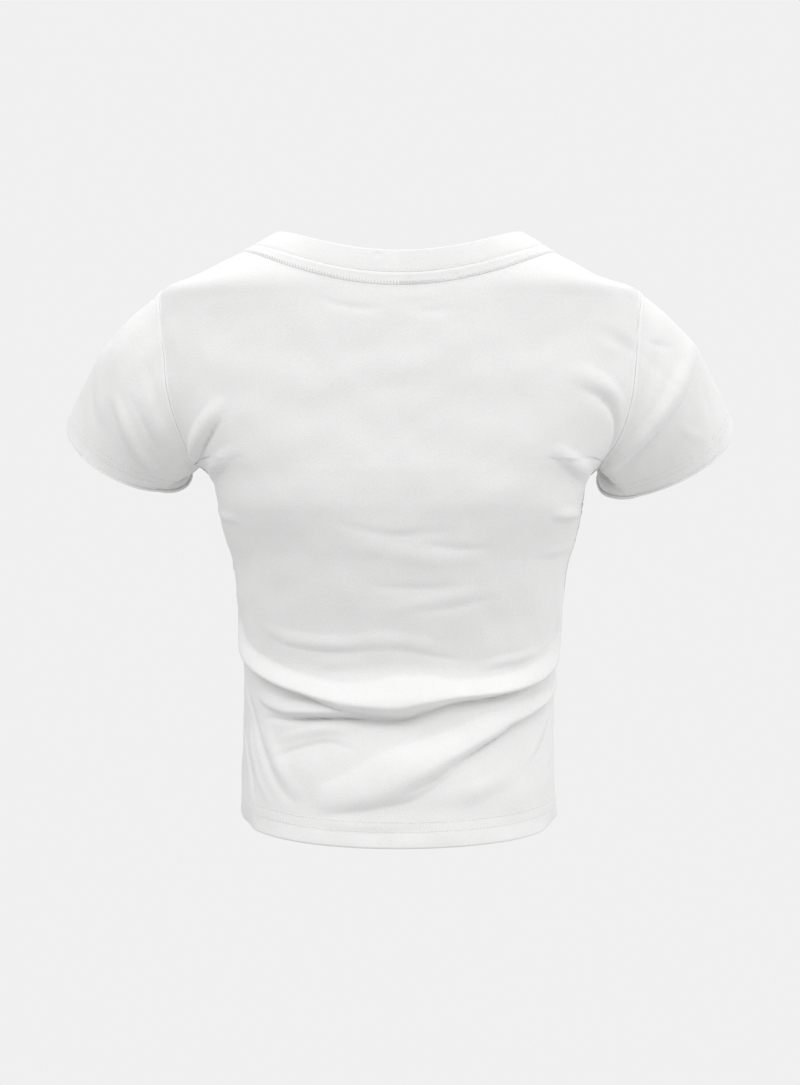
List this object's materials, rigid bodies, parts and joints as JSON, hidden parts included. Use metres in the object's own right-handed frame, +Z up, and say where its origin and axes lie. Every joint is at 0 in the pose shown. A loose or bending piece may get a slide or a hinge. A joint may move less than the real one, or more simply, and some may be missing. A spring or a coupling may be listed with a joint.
{
  "type": "t-shirt",
  "caption": "Cropped, close-fitting T-shirt with short sleeves and a wide banded neckline, open and rounded as when worn, with creases gathered at the waist.",
  "frame": {"origin": "midway between the neck ends of the two shoulder seams, in the plane of the shoulder and side seams, where the wearer's shoulders carry the shirt", "axes": "+Z up, +X towards the wearer's left, -Y towards the wearer's front; the shirt hangs upright as worn"},
  "size_m": [0.4698, 0.2035, 0.4151],
  "materials": {
    "jersey": "matte knitted cotton",
    "band": "matte knitted cotton, doubled"
  },
  "bodies": {
    "root": {"back": "jersey", "front": "jersey", "sleeve_left": "jersey", "sleeve_right": "jersey", "neckband": "band"}
  },
  "joints": []
}
